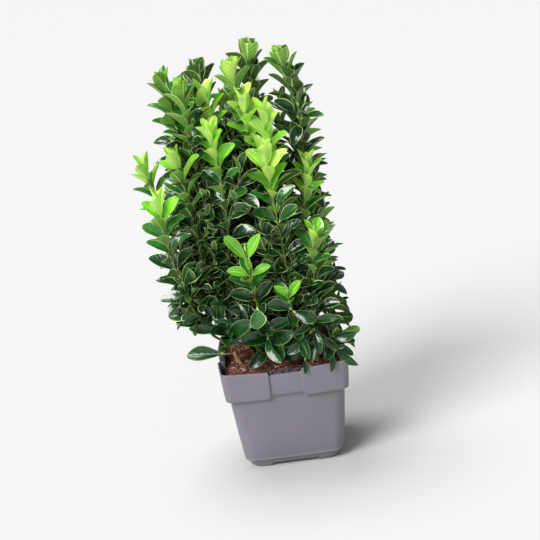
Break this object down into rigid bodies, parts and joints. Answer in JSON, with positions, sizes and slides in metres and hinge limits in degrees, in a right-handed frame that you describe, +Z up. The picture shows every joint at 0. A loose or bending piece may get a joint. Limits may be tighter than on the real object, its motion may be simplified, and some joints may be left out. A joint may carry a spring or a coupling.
{
  "type": "potted columnar euonymus",
  "caption": "Square nursery pot of soil holding a dense upright evergreen shrub: short woody stems carry leafy shoots of paired glossy leaves. It stands on the pot's flat underside.",
  "frame": {"origin": "centre of the pot's flat underside, on the ground", "axes": "+Z up along the pot's axis, front of the plant towards -Y, its left as seen from the front towards -X"},
  "size_m": [0.1558, 0.1305, 0.2966],
  "materials": {
    "pot": "satin",
    "soil": "matte",
    "bark": "matte",
    "leaf_dark": "gloss",
    "leaf_mid": "gloss",
    "leaf_bright": "gloss",
    "leaf_fresh": "gloss"
  },
  "bodies": {
    "root": {"pot": "pot", "soil": "soil", "stem_front_left": "bark", "stem_front_right": "bark", "stem_middle": "bark", "stem_back_left": "bark", "stem_back_right": "bark", "shoot_top_left": "leaf_mid", "shoot_top_left_front": "leaf_mid", "shoot_top_left_back": "leaf_dark", "shoot_high_left": "leaf_bright", "shoot_high_left_front": "leaf_bright", "shoot_top_middle": "leaf_mid", "shoot_top_back": "leaf_dark", "shoot_high_middle": "leaf_fresh", "shoot_high_right": "leaf_fresh", "shoot_front_middle": "leaf_fresh", "shoot_top_right": "leaf_dark", "shoot_right_front": "leaf_bright", "shoot_left_outer": "leaf_fresh", "shoot_left_front": "leaf_fresh", "shoot_left_low_front": "leaf_fresh", "shoot_young_front": "leaf_bright", "shoot_low_right_front": "leaf_bright", "shoot_right_edge": "leaf_mid", "shoot_right_back": "leaf_dark", "shoot_back_left_outer": "leaf_mid", "shoot_back_left": "leaf_bright", "shoot_back_middle_left": "leaf_mid", "shoot_back_low_left": "leaf_dark", "shoot_back_middle": "leaf_fresh", "shoot_back_right": "leaf_mid", "shoot_back_right_low": "leaf_bright", "shoot_foot_front": "leaf_bright", "shoot_foot_front_middle": "leaf_dark", "shoot_foot_front_left": "leaf_dark", "shoot_foot_left": "leaf_dark", "shoot_foot_right": "leaf_mid", "shoot_foot_right_front": "leaf_dark", "shoot_foot_right_back": "leaf_dark", "shoot_foot_back": "leaf_dark", "shoot_foot_back_right": "leaf_dark", "shoot_foot_back_left": "leaf_dark", "shoot_foot_back_middle": "leaf_dark"}
  },
  "joints": []
}
